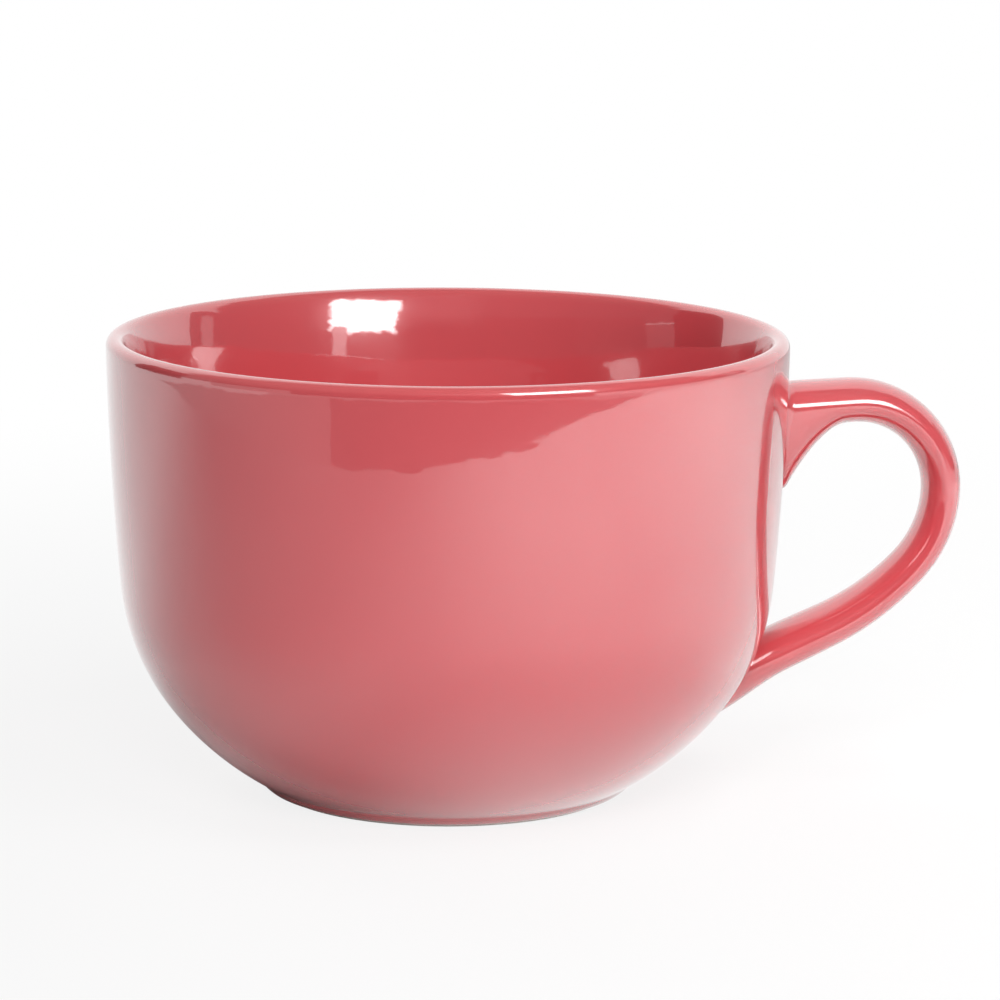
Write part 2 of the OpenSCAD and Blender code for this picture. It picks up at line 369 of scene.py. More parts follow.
class Strap:
    """The handle's strap as a surface: distance s along its centre line and angle a round its section."""

    def __init__(self, handle, cup, foot):
        self.h = handle
        self.wall = outer_wall(cup, foot)
        self.root = cup.wall_thickness
        height = cup.height - handle.drop
        start = Vector((wall_radius(self.wall, height), height))
        self.start = start - self.root * heading_vector(handle.climb)
        self.runs = [
            (self.root + handle.run, 0),
            (handle.top_bend_radius * handle.top_bend_angle, handle.top_bend_radius),
            (handle.back_bend_radius * handle.back_bend_angle, handle.back_bend_radius),
            (handle.tail_bend_radius * handle.tail_bend_angle, handle.tail_bend_radius)]
        self.bends_end = sum(run for run, _ in self.runs)
        self.upper_seat = self.root
        self.lower_seat = self.bends_end + self.run_to_wall()
        self.half_length = (self.lower_seat - self.upper_seat) / 2
        self.tail_tip = self.lower_seat + handle.lower_seat_thickness

    def line(self, s):
        """The point and heading of the centre line at a distance, in the XZ plane."""
        point, heading = self.start.copy(), self.h.climb
        for run, radius in self.runs:
            step = min(s, run)
            turn = step / radius if radius else 0
            chord = 2 * radius * math.sin(turn / 2) if radius else step
            point += chord * heading_vector(heading - turn / 2)
            heading -= turn
            s -= step
            if s <= 0:
                return point, heading
        return point + s * heading_vector(heading), heading

    def run_to_wall(self):
        """How far the centre line runs straight on from its last bend to the wall."""
        point, heading = self.line(self.bends_end)
        way = 0
        for _ in range(SETTLING_STEPS):
            height = point.y + way * math.sin(heading)
            way = (wall_radius(self.wall, height) - point.x) / math.cos(heading)
        return way

    def half_sizes(self, s):
        """Half the width, and the thickness towards the fingers and away from them."""
        h = self.h
        upper = swell(s - self.upper_seat, self.half_length)
        lower = swell(self.lower_seat - s, self.half_length)
        width = h.strap_width + (h.seat_width - h.strap_width) * (upper + lower)
        thickness = (h.strap_thickness + (h.upper_seat_thickness - h.strap_thickness) * upper
                     + (h.lower_seat_thickness - h.strap_thickness) * lower)
        web = h.web_drop * sweep(s - self.upper_seat, h.web_length, h.web_curve)
        tail = h.tail_drop * swell(self.tail_tip - s, h.tail_length)
        return width / 2, thickness / 2 + web, thickness / 2 + tail

    def surface(self, s, a):
        """The point of the strap's surface at a distance and an angle round its section."""
        point, heading = self.line(s)
        half_width, inner, outer = self.half_sizes(s)
        rise = (outer if math.cos(a) > 0 else inner) * math.cos(a)
        across = point + rise * Vector((-math.sin(heading), math.cos(heading)))
        return Vector((across.x, half_width * math.sin(a), across.y))

    def rounded(self, s, a):
        """The same point after the strap's rounding has smoothed its mesh."""
        ring = 2 * self.half_length / STRAP_RINGS
        side = math.tau / STRAP_SIDES
        point = self.surface(s, a)
        around = self.surface(s, a + side) + self.surface(s, a - side)
        along = self.surface(s + ring, a) + self.surface(s - ring, a)
        return point + (around + along - 4 * point) / 8

    def outward(self, s, a):
        """The outward direction of the surface at a distance and an angle."""
        beside = self.surface(s, a + SMALL_TURN) - self.surface(s, a - SMALL_TURN)
        along = self.surface(s + SMALL_STEP, a) - self.surface(s - SMALL_STEP, a)
        return along.cross(beside).normalized()

    def clearance(self, s, a):
        """How far the surface point lies outside the wall, measured level."""
        p = self.surface(s, a)
        return math.hypot(p.x, p.y) - wall_radius(self.wall, p.z)

    def seat(self, a, upper, depth=0):
        """The distance at which the line at angle a reaches the wall, or a depth inside it."""
        inside, clear = (0, self.half_length) if upper else (
            self.lower_seat + 2 * self.h.lower_seat_thickness, self.lower_seat - self.half_length)
        for _ in range(HALVING_STEPS):
            middle = (inside + clear) / 2
            if self.clearance(middle, a) > -depth:
                clear = middle
            else:
                inside = middle
        return clear


def swell(distance, reach):
    """A swelling that is whole up to distance 0 and has died away at its reach."""
    share = min(max(distance / reach, 0), 1)
    return (1 + math.cos(math.pi * share)) / 2


def sweep(distance, reach, curve):
    """A swelling that is steepest where it is whole and runs out smoothly at its reach."""
    share = min(max(distance / reach, 0), 1)
    return (1 - share) ** curve


def build_handle(handle, cup, foot, slip):
    """The strap as a tube that is bent along the centre line, its ends running into the wall."""
    strap = Strap(handle, cup, foot)
    bm = bmesh.new()
    bmesh.ops.create_circle(bm, segments=STRAP_SIDES, radius=1)
    bmesh.ops.spin(
        bm, geom=bm.verts[:] + bm.edges[:], cent=(0, 0, 0), axis=(0, 0, 1), angle=0,
        dvec=(0, 0, 1 / STRAP_RINGS), steps=STRAP_RINGS)
    bmesh.ops.holes_fill(bm, edges=[e for e in bm.edges if e.is_boundary], sides=0)
    ends = {}
    for vert in bm.verts:
        a = math.atan2(vert.co.y, vert.co.x)
        key = round(a, ANGLE_DIGITS)
        if key not in ends:
            ends[key] = strap.seat(a, True, slip.sink), strap.seat(a, False, slip.sink)
        first, last = ends[key]
        vert.co = strap.surface(first + (last - first) * vert.co.z, a)
    return bm


SLIP_AROUND = 120
FILLET_STEPS = 8
FEATHER_STEPS = 6
RING_RADIUS = 1
RING_SECTION = 0.5


def build_slip(handle, cup, foot, slip, upper):
    """A fillet of slip round one seat, tangent to the strap and to the wall.

    It starts as a plain ring, whose points are then moved to their places in the sections.
    """
    strap = Strap(handle, cup, foot)
    sides = FILLET_STEPS + 2 * FEATHER_STEPS + 2
    bm = bmesh.new()
    bmesh.ops.create_circle(
        bm, segments=sides, radius=RING_SECTION,
        matrix=Matrix.Translation((RING_RADIUS, 0, 0)) @ Matrix.Rotation(math.pi / 2, 4, "X"))
    turned(bm, SLIP_AROUND)
    # This value is 1 in the middle of the fillet, where the glaze is darkened: pooled glaze and painted
    # shade in the crease.
    pool_and_shade = bm.verts.layers.float.new("pool_and_shade")
    sections = {}
    for vert in bm.verts:
        a = math.atan2(vert.co.y, vert.co.x)
        key = round(a, ANGLE_DIGITS)
        if key not in sections:
            sections[key] = slip_section(strap, slip, a, upper)
        across = math.atan2(vert.co.z, math.hypot(vert.co.x, vert.co.y) - RING_RADIUS)
        step = round(across / math.tau * sides) % sides
        share = min(max((step - FEATHER_STEPS) / FILLET_STEPS, 0), 1)
        vert[pool_and_shade] = math.sin(math.pi * share)
        vert.co = sections[key][step]
    return bm


def slip_section(strap, slip, a, upper):
    """The fillet's section at angle a: from under the strap, over a curve, to under the wall and inside it.

    Where the strap and the wall meet at a sharp angle, the slip has been wiped back, and the fillet is
    smaller. The section follows both surfaces as their rounding leaves them.
    """
    s = strap.seat(a, upper)
    away = 1 if upper else -1
    corner = strap.surface(s, a)
    normal = wall_normal(strap.wall, corner)
    outward = strap.outward(s, a)
    spread = (outward - outward.dot(normal) * normal).normalized()
    along = strap.surface(s + away * SMALL_STEP, a) - corner
    share = min(math.tan(along.angle(spread) / 2), 1)
    fillet = share * slip.fillet

    def on_strap(reach, depth):
        far = s + away * reach
        return strap.rounded(far, a) - depth * strap.outward(far, a)

    def on_wall(reach, depth):
        flat = corner + reach * spread
        arc = wall_arc(strap.wall, flat.z)
        drawn_in = abs(arc.radius) * (1 - rounded_share(arc.turn / WALL_STEPS))
        radius = wall_radius(strap.wall, flat.z) * rounded_share(math.tau / CUP_STEPS)
        shrink = radius / math.hypot(flat.x, flat.y)
        return Vector((flat.x * shrink, flat.y * shrink, flat.z)) - (depth + drawn_in) * normal

    feather = []
    for step in range(FEATHER_STEPS, 0, -1):
        run = step / FEATHER_STEPS
        feather.append((fillet + run * share * slip.feather, run ** 2 * slip.feather_sink))
    points = [on_strap(*edge) for edge in feather]
    first, last = on_strap(fillet, 0), on_wall(fillet, 0)
    for step in range(FILLET_STEPS + 1):
        f = step / FILLET_STEPS
        points.append((1 - f) ** 2 * first + 2 * f * (1 - f) * corner + f ** 2 * last)
    points += [on_wall(*edge) for edge in reversed(feather)]
    points.append(corner - slip.sink / 2 * normal)
    return points


# Cup and foot

CUP_STEPS = 96
WALL_STEPS = 14
LIP_STEPS = 14
FLOOR_STEPS = 5
FOOT_STEPS = 6
COVE_STEPS = 6
REST_STEPS = 6
SIDE_STEPS = 4
EDGE_STEPS = 4
SEAT_STEPS = 3
RECESS_STEPS = 2


def meeting_point(top, top_lean, height, low, low_lean):
    """Where two smooth arcs meet at a height, on their way down from one leaning place to another."""
    drop, rest = top.y - height, height - low.y
    lean = 0
    for _ in range(SETTLING_STEPS):
        run = drop * math.tan((top_lean + lean) / 2) + rest * math.tan((lean + low_lean) / 2)
        lean += 2 * (top.x - low.x - run) / (drop + rest)
    return Vector((top.x - drop * math.tan((top_lean + lean) / 2), height))


def recess_radius(foot):
    """The radius of the recess inside the foot."""
    return foot.rest_radius - foot.rest_width


def draw_inside(pen, cup, wall):
    """The inside of the cup, from the middle of its floor over the lip to where the outside starts."""
    upper, lower, _ = wall
    lip = upper.start
    flare = cup.lip_flare
    lip_inside = lip + cup.lip_thickness / 2 * Vector((-1 - math.cos(flare), math.sin(flare)))
    taper_at, taper_heading = upper.at(cup.taper_depth / (lip.y - upper.end.y))
    taper_end = outside(taper_at, taper_heading, -cup.wall_thickness)
    ease_end = meeting_point(
        lip_inside, flare, cup.height - cup.ease_depth, taper_end, downward(taper_heading))
    inner_belly = outside(upper.end, upper.end_heading, -cup.wall_thickness)
    floor_edge = outside(lower.end, lower.end_heading, -cup.wall_thickness)
    floor_slope = downward(lower.end_heading)
    floor_bend = (floor_edge.y - cup.floor_height) / (1 - math.sin(floor_slope))
    floor_flat = floor_edge.x - floor_bend * math.cos(floor_slope)
    pen.line_to(Vector((floor_flat, cup.floor_height)), FLOOR_STEPS)
    for end in (floor_edge, inner_belly, taper_end, ease_end, lip_inside):
        pen.arc_to(end, WALL_STEPS)
    pen.arc_to(lip, LIP_STEPS)


def draw_underside(pen, foot):
    """The glazed side of the foot, the seat of the bare ring and the recess, as far as the axis."""
    edge = foot.glaze_edge
    edge_top = foot.bare_height + edge
    inner = recess_radius(foot)
    pen.heading = downward(foot.lean)
    foot_side = Arc(pen.point(), pen.heading, Vector((foot.rest_radius, 0)))
    pen.arc_to(Vector((foot_side.radius_at(edge_top), edge_top)), FOOT_STEPS)
    pen.arc_to(Vector((foot.bare_radius - 2 * edge, foot.bare_height)), EDGE_STEPS)
    pen.line_to(Vector((inner + edge, foot.bare_height)), SEAT_STEPS)
    pen.arc_to(Vector((inner, edge_top)), EDGE_STEPS)
    pen.line_to(Vector((inner, foot.recess_height - foot.cove_radius)), RECESS_STEPS)
    pen.arc_to(Vector((inner - foot.cove_radius, foot.recess_height)), COVE_STEPS)
    pen.line_to(Vector((0, foot.recess_height)), FLOOR_STEPS)


def build_cup(cup, foot):
    """The cup, spun from one section that starts and ends on its axis."""
    wall = outer_wall(cup, foot)
    bm = bmesh.new()
    pen = Pen(bm, Vector((0, cup.floor_height)), 0)
    draw_inside(pen, cup, wall)
    pen.heading = downward(cup.wall_lean)
    for arc in wall:
        pen.arc_to(arc.end, WALL_STEPS)
    draw_underside(pen, foot)
    turned(bm, CUP_STEPS)
    return bm


def build_foot_ring(foot):
    """The bare ring under the glaze, with its edges worn round."""
    step = foot.glaze_step
    worn = foot.glaze_edge
    inner = recess_radius(foot)
    top_out = Vector((foot.bare_radius - step, foot.bare_height))
    top_in = Vector((inner + step, foot.bare_height))
    rest_out = Vector((foot.rest_radius - step, 0))
    rest_in = Vector((inner + step, 0))
    bm = bmesh.new()
    pen = Pen(bm, top_out, 0)
    lean = (rest_out - top_out).normalized()
    pen.line_to(rest_out - worn * lean, SIDE_STEPS)
    pen.arc_to(rest_out - worn * Vector((1, 0)), EDGE_STEPS)
    pen.line_to(rest_in + worn * Vector((1, 0)), REST_STEPS)
    pen.arc_to(rest_in + worn * Vector((0, 1)), EDGE_STEPS)
    pen.line_to(top_in, SEAT_STEPS)
    pen.line_to(top_out, SEAT_STEPS)
    turned(bm, CUP_STEPS)
    return bm


# Materials

# The Mix node has a set of sockets for each kind of data, so its colours are found by their places
MIX_COLOURS = (6, 7)
MIXED_COLOUR = 2


def node_group(name, inputs, outputs):
    """An empty shader node group with its sockets, and its two end nodes."""
    group = bpy.data.node_groups.new(name, "ShaderNodeTree")
    for socket, kind, value in inputs:
        made = group.interface.new_socket(socket, in_out="INPUT", socket_type=kind)
        made.default_value = value
    for socket, kind in outputs:
        group.interface.new_socket(socket, in_out="OUTPUT", socket_type=kind)
    return group, group.nodes.new("NodeGroupInput"), group.nodes.new("NodeGroupOutput")


def math_node(tree, operation, first, second):
    """A Math node; each of its two values is a socket or a number."""
    node = tree.nodes.new("ShaderNodeMath")
    node.operation = operation
    for socket, value in zip(node.inputs, (first, second)):
        if isinstance(value, bpy.types.NodeSocket):
            tree.links.new(value, socket)
        else:
            socket.default_value = value
    return node.outputs["Value"]


def range_node(tree, value, low, high, to_low=0, to_high=1):
    """A smooth step of a value from one range to another."""
    node = tree.nodes.new("ShaderNodeMapRange")
    node.interpolation_type = "SMOOTHSTEP"
    tree.links.new(value, node.inputs["Value"])
    for socket, number in (("From Min", low), ("From Max", high), ("To Min", to_low), ("To Max", to_high)):
        node.inputs[socket].default_value = number
    return node.outputs["Result"]


def mix_colour(tree, share, first, second):
    """A mix of two colours by a share; each is a socket or a colour."""
    node = tree.nodes.new("ShaderNodeMix")
    node.data_type = "RGBA"
    tree.links.new(share, node.inputs["Factor"])
    for socket, value in zip(MIX_COLOURS, (first, second)):
        if isinstance(value, bpy.types.NodeSocket):
            tree.links.new(value, node.inputs[socket])
        else:
            node.inputs[socket].default_value = (*value, 1)
    return node.outputs[MIXED_COLOUR]


def mix_shaders(tree, share, first, second):
    """A mix of two shaders by a share; all three are sockets."""
    node = tree.nodes.new("ShaderNodeMixShader")
    for socket, value in zip(node.inputs, (share, first, second)):
        tree.links.new(value, socket)
    return node.outputs["Shader"]


def shiny_ray(tree, path):
    """A value that is 1 for what reflections and clear surfaces show."""
    return math_node(tree, "MAXIMUM", path.outputs["Is Glossy Ray"], path.outputs["Is Transmission Ray"])


def place_group(tree, group, values):
    """A group node in a material, with its own values."""
    node = tree.nodes.new("ShaderNodeGroup")
    node.node_tree = group
    for socket, value in values.items():
        node.inputs[socket].default_value = value
    return node


def mottle_group():
    """Soft clouds over the surface, and a finer ripple that goes into the bump."""
    name = "mottle"
    if name in bpy.data.node_groups:
        return bpy.data.node_groups[name]
    group, ends, result = node_group(
        name,
        [("Cloud Scale", "NodeSocketFloat", 30), ("Ripple Scale", "NodeSocketFloat", 120),
         ("Fine Scale", "NodeSocketFloat", 500), ("Fine Share", "NodeSocketFloat", 0.2)],
        [("Cloud", "NodeSocketFloat"), ("Ripple", "NodeSocketFloat")])
    where = group.nodes.new("ShaderNodeTexCoord").outputs["Object"]
    fields = {}
    for field in ("Cloud", "Ripple", "Fine"):
        noise = group.nodes.new("ShaderNodeTexNoise")
        noise.inputs["Detail"].default_value = 1
        group.links.new(where, noise.inputs["Vector"])
        group.links.new(ends.outputs[field + " Scale"], noise.inputs["Scale"])
        fields[field] = noise.outputs["Fac"]
    fine = math_node(group, "MULTIPLY", fields["Fine"], ends.outputs["Fine Share"])
    group.links.new(fields["Cloud"], result.inputs["Cloud"])
    group.links.new(math_node(group, "ADD", fields["Ripple"], fine), result.inputs["Ripple"])
    return group


def speck_group():
    """Scattered specks: a mask that is 1 in each speck."""
    name = "specks"
    if name in bpy.data.node_groups:
        return bpy.data.node_groups[name]
    group, ends, result = node_group(
        name,
        [("Scale", "NodeSocketFloat", 100), ("Size", "NodeSocketFloat", 0.05),
         ("Share", "NodeSocketFloat", 0.1)],
        [("Speck", "NodeSocketFloat")])
    where = group.nodes.new("ShaderNodeTexCoord").outputs["Object"]
    cells = group.nodes.new("ShaderNodeTexVoronoi")
    group.links.new(where, cells.inputs["Vector"])
    group.links.new(ends.outputs["Scale"], cells.inputs["Scale"])
    chance = group.nodes.new("ShaderNodeSeparateColor")
    group.links.new(cells.outputs["Color"], chance.inputs["Color"])
    near = math_node(group, "LESS_THAN", cells.outputs["Distance"], ends.outputs["Size"])
    chosen = math_node(group, "LESS_THAN", chance.outputs["Red"], ends.outputs["Share"])
    group.links.new(math_node(group, "MULTIPLY", near, chosen), result.inputs["Speck"])
    return group


def new_material(name, roughness):
    """A material with one Principled shader."""
    material = bpy.data.materials.new(name)
    material.use_nodes = True
    shader = material.node_tree.nodes["Principled BSDF"]
    shader.inputs["Roughness"].default_value = roughness
    return material, material.node_tree, shader


def add_bump(tree, shader, height, distance):
    """A bump of a height, in metres, on the shader's base and on its coat."""
    bump = tree.nodes.new("ShaderNodeBump")
    bump.inputs["Distance"].default_value = distance
    tree.links.new(height, bump.inputs["Height"])
    for socket in ("Normal", "Coat Normal"):
        tree.links.new(bump.outputs["Normal"], shader.inputs[socket])


# The noise values between which each finish's clouds come up
GLAZE_CLOUD_SPAN = (0.35, 0.65)
CLAY_CLOUD_SPAN = (0.3, 0.7)


def glaze_material(scene):
    """A thick coral glaze: soft clouds, a paler lip top that is partly thinner glaze and partly a painted
    highlight, darker red in the slip fillets that is partly pooled glaze and partly painted shade, pinholes
    and an uneven skin.
    """
    look, rim = scene.mug_look, scene.mug_cup.height
    material, tree, shader = new_material("coral_glaze", roughness=0.2)
    shader.inputs["Coat Weight"].default_value = 1
    shader.inputs["Coat Roughness"].default_value = look.coat_roughness
    shader.inputs["Coat IOR"].default_value = look.coat_ior
    mottle = place_group(
        tree, mottle_group(),
        {"Cloud Scale": 28, "Ripple Scale": 95, "Fine Scale": 420, "Fine Share": 0.10})
    specks = place_group(tree, speck_group(), {"Scale": 105, "Size": 0.03, "Share": 0.06})
    where = tree.nodes.new("ShaderNodeSeparateXYZ")
    tree.links.new(tree.nodes.new("ShaderNodeTexCoord").outputs["Object"], where.inputs["Vector"])
    # Paler at the top of the lip: thinner glaze there, and a painted highlight.
    thin = range_node(tree, where.outputs["Z"], rim - look.thin_and_highlight_depth, rim, to_high=look.thin_and_highlit_lip)
    cloud = range_node(tree, mottle.outputs["Cloud"], *GLAZE_CLOUD_SPAN, to_high=look.clouds)
    # Darker red in the middle of the slip fillets: pooled glaze and painted shade in the crease between
    # handle and wall.
    pool_and_shade = tree.nodes.new("ShaderNodeAttribute")
    pool_and_shade.attribute_name = "pool_and_shade"
    base = mix_colour(tree, cloud, look.glaze_red, look.glaze_thin_and_highlight)
    base = mix_colour(tree, thin, base, look.glaze_thin_and_highlight)
    base = mix_colour(tree, pool_and_shade.outputs["Fac"], base, look.glaze_pool_and_shade)
    base = mix_colour(tree, specks.outputs["Speck"], base, look.speck)
    tree.links.new(base, shader.inputs["Base Color"])
    add_bump(tree, shader, mottle.outputs["Ripple"], look.ripple)
    return material


def clay_material(scene):
    """Fired clay with a fine grain and a few dark specks."""
    look = scene.mug_look
    material, tree, shader = new_material("bare_clay", roughness=0.85)
    mottle = place_group(
        tree, mottle_group(),
        {"Cloud Scale": 160, "Ripple Scale": 900, "Fine Scale": 3000, "Fine Share": 0.6})
    specks = place_group(tree, speck_group(), {"Scale": 700, "Size": 0.25, "Share": 0.08})
    cloud = range_node(tree, mottle.outputs["Cloud"], *CLAY_CLOUD_SPAN, to_high=look.clay_clouds)
    base = mix_colour(tree, cloud, look.clay, look.clay_dark)
    base = mix_colour(tree, specks.outputs["Speck"], base, look.clay_dark)
    tree.links.new(base, shader.inputs["Base Color"])
    add_bump(tree, shader, mottle.outputs["Ripple"], look.grain)
    return material


def finish(name, scene):
    """The material of that name, made when it is first asked for."""
    make = {"coral_glaze": glaze_material, "bare_clay": clay_material}[name]
    return bpy.data.materials.get(name) or make(scene)


# Operators

class MUG_OT_cup(bpy.types.Operator):
    """Build the glazed cup"""

    bl_idname = "mug.cup"
    bl_label = "Cup"

    def execute(self, context):
        scene = context.scene
        bm = build_cup(scene.mug_cup, scene.mug_foot)
        glaze = finish("coral_glaze", scene)
        piece("cup", bm, glaze, ["cup_body"])
        return {"FINISHED"}


class MUG_OT_foot_ring(bpy.types.Operator):
    """Build the bare ring that the mug stands on"""

    bl_idname = "mug.foot_ring"
    bl_label = "Foot Ring"

    def execute(self, context):
        scene = context.scene
        bm = build_foot_ring(scene.mug_foot)
        clay = finish("bare_clay", scene)
        piece("bare_foot_ring", bm, clay, ["foot_ring"])
        return {"FINISHED"}


class MUG_OT_handle(bpy.types.Operator):
    """Build the strap handle"""

    bl_idname = "mug.handle"
    bl_label = "Handle"

    def execute(self, context):
        scene = context.scene
        bm = build_handle(scene.mug_handle, scene.mug_cup, scene.mug_foot, scene.mug_slip)
        glaze = finish("coral_glaze", scene)
        piece("strap_handle", bm, glaze, ["handle"])
        return {"FINISHED"}


class MUG_OT_slips(bpy.types.Operator):
    """Build the fillets of slip at both seats of the handle"""

    bl_idname = "mug.slips"
    bl_label = "Slip Fillets"

    def execute(self, context):
        scene = context.scene
        glaze = finish("coral_glaze", scene)
        for name, upper in (("upper_slip", True), ("lower_slip", False)):
            bm = build_slip(scene.mug_handle, scene.mug_cup, scene.mug_foot, scene.mug_slip, upper)
            piece(name + "_fillet", bm, glaze, [name])
        return {"FINISHED"}


class MUG_OT_stage(bpy.types.Operator):
    """Set up the table, the lamps and the camera"""

    bl_idname = "mug.stage"
    bl_label = "Stage"

    def execute(self, context):
        scene = context.scene
        stage = scene.mug_stage
        build_table(stage)
        build_flats(stage)
        build_lamps(stage)
        build_glows(stage)
        build_room(scene, stage)
        build_camera(scene, stage)
        scene.view_settings.view_transform = "Standard"
        return {"FINISHED"}


# Stage

TABLE_STEPS = 64
FLAT_STEPS = 24
SENSOR_WIDTH = 36


def stage_turn(stage):
    """The whole stage is laid out for a handle that points straight to the right, and then turned."""
    return Matrix.Rotation(-stage.turn, 4, "Z")


def stage_object(name, bm, material, stage):
    """A piece of the studio."""
    mesh = bpy.data.meshes.new(name)
    bm.to_mesh(mesh)
    bm.free()
    obj = bpy.data.objects.new(name, mesh)
    bpy.context.scene.collection.objects.link(obj)
    mesh.materials.append(material)
    obj.matrix_world = stage_turn(stage)
    return obj


def build_table(stage):
    """A table with a round front that runs straight back out of sight."""
    centre = Vector(stage.table_centre)
    bm = bmesh.new()
    first = bmesh.ops.create_vert(bm, co=centre - Vector((stage.table_radius, 0, 0)))["vert"][0]
    made = bmesh.ops.spin(
        bm, geom=[first], cent=centre, axis=(0, 0, 1), angle=math.pi, steps=TABLE_STEPS)
    last = next(g for g in made["geom_last"] if isinstance(g, bmesh.types.BMVert))
    for end in (first, last):
        back = bmesh.ops.extrude_vert_indiv(bm, verts=[end])["verts"]
        bmesh.ops.translate(bm, verts=back, vec=(0, stage.table_back - centre.y, 0))
    bmesh.ops.contextual_create(bm, geom=bm.verts[:])
    bmesh.ops.recalc_face_normals(bm, faces=bm.faces)
    for face in bm.faces:
        if face.normal.z < 0:
            face.normal_flip()
    stage_object("table", bm, table_material(stage), stage)


# Spans in metres. Over the first the table's colour turns paler from left to right: painted shade on the
# left, painted light on the right. Over the others its reflections turn white: towards the back, towards
# the left, towards the right and far off; near the mug that white is a painted glow that only reflections
# see.
PAINTED_LIGHT_SPAN = (-0.14, 0.12)
BACK_SPAN = (-0.10, 0.14)
LEFT_SPAN = (-0.05, 0.15)
RIGHT_SPAN = (-0.025, 0.025)
FAR_SPAN = (0.5, 1.5)
# The white at the back starts at this distance from the mug's axis, and that on the right fades from there
FOOT_REACH = 0.05
# How white the table glows on the right beside the foot: painted light that only reflections see
RIGHT_GLOW_SHARE = 0.9


def table_material(stage):
    """White with a share of the mug's shadow, plain white further off, and clear from below.

    Its colour turns paler from left to right, a painted shade on the left and painted light on the right.
    Reflections show it as it is lit, but white at the back on the left, beside the foot on the right, and
    far off; near the mug that white is a painted glow that only reflections see.
    """
    material, tree, shader = new_material("white_table", roughness=0.7)
    shader.inputs["Specular IOR Level"].default_value = 0.2
    geometry = tree.nodes.new("ShaderNodeNewGeometry")
    distance = tree.nodes.new("ShaderNodeVectorMath")
    distance.operation = "LENGTH"
    tree.links.new(geometry.outputs["Position"], distance.inputs["Vector"])
    off = distance.outputs["Value"]
    path = tree.nodes.new("ShaderNodeLightPath")
    seen = range_node(tree, off, stage.shadow_near, stage.shadow_far, 1 - stage.shadow_share, 1)
    side = tree.nodes.new("ShaderNodeSeparateXYZ")
    tree.links.new(tree.nodes.new("ShaderNodeTexCoord").outputs["Object"], side.inputs["Vector"])
    across, back = side.outputs["X"], side.outputs["Y"]
    # Painted shade and painted light: the table's colour turns paler from left to right.
    pale = range_node(tree, across, *PAINTED_LIGHT_SPAN, stage.table_painted_shade_left, stage.table_painted_light_right)
    tree.links.new(pale, shader.inputs["Base Color"])
    # Painted glow: behind and beside are white patches near the mug that only reflections see.
    behind = math_node(
        tree, "MULTIPLY", range_node(tree, back, *BACK_SPAN), range_node(tree, across, *LEFT_SPAN, 1, 0))
    behind = math_node(
        tree, "MULTIPLY", behind, range_node(tree, off, FOOT_REACH, stage.shadow_near))
    beside = math_node(
        tree, "MULTIPLY", range_node(tree, across, *RIGHT_SPAN),
        range_node(tree, off, FOOT_REACH, stage.shadow_near, RIGHT_GLOW_SHARE, 0))
    near = math_node(tree, "MAXIMUM", behind, beside)
    mirrored = math_node(tree, "MAXIMUM", near, range_node(tree, off, *FAR_SPAN))
    share = math_node(
        tree, "ADD", math_node(tree, "MULTIPLY", path.outputs["Is Camera Ray"], seen),
        math_node(tree, "MULTIPLY", shiny_ray(tree, path), mirrored))
    white = tree.nodes.new("ShaderNodeEmission")
    clear = tree.nodes.new("ShaderNodeBsdfTransparent")
    upper = mix_shaders(tree, share, shader.outputs["BSDF"], white.outputs["Emission"])
    both = mix_shaders(tree, geometry.outputs["Backfacing"], upper, clear.outputs["BSDF"])
    tree.links.new(both, tree.nodes["Material Output"].inputs["Surface"])
    return material


# Each flat: name, first and last bearing in degrees to the right of the camera, low and high edge, grey
FLATS = (
    ("front_apron", -38, 66, -1.2, -0.19, 0.20),
    ("front_rail", -60, 66, -0.19, -0.15, 0.60),
    ("front_flat", -52, 48, -0.15, 0.75, 0.10),
    ("left_apron", -125, -38, -1.2, -0.19, 0.45),
    ("left_flat", -83, -52, -0.15, 0.11, 0.50),
    ("left_upper", -83, -52, 0.11, 0.75, 0.12),
    ("left_card", -97, -83, 0.05, 0.60, 0.24),
    ("dark_flat", -125, -97, -0.10, 0.90, 0.02),
    ("right_flat", 48, 115, 0.03, 0.75, 0.14),
)


def bearing(degrees):
    """The level direction at a bearing to the right of the camera, as seen from the mug."""
    return Vector((math.sin(math.radians(degrees)), -math.cos(math.radians(degrees)), 0))


def build_flats(stage):
    """Grey studio flats round the front, which only the glaze's reflections see."""
    for name, first, last, low, high, grey in FLATS:
        bm = bmesh.new()
        foot = stage.flat_radius * bearing(first) + Vector((0, 0, low))
        vert = bmesh.ops.create_vert(bm, co=foot)["vert"]
        top = bmesh.ops.extrude_vert_indiv(bm, verts=vert)["verts"]
        bmesh.ops.translate(bm, verts=top, vec=(0, 0, high - low))
        bmesh.ops.spin(
            bm, geom=bm.verts[:] + bm.edges[:], cent=(0, 0, 0), axis=(0, 0, 1),
            angle=math.radians(last - first), steps=FLAT_STEPS)
        only_mirrored(stage_object(name, bm, flat_material(name, grey), stage))


def only_mirrored(obj):
    """Lets an object of the studio show in reflections alone."""
    obj.visible_camera = False
    obj.visible_diffuse = False
    obj.visible_transmission = False
    obj.visible_shadow = False


def flat_material(name, grey):
    """An even grey."""
    material = bpy.data.materials.new(name)
    material.use_nodes = True
    tree = material.node_tree
    glow = tree.nodes.new("ShaderNodeEmission")
    glow.inputs["Color"].default_value = (grey, grey, grey, 1)
    tree.links.new(glow.outputs["Emission"], tree.nodes["Material Output"].inputs["Surface"])
    return material


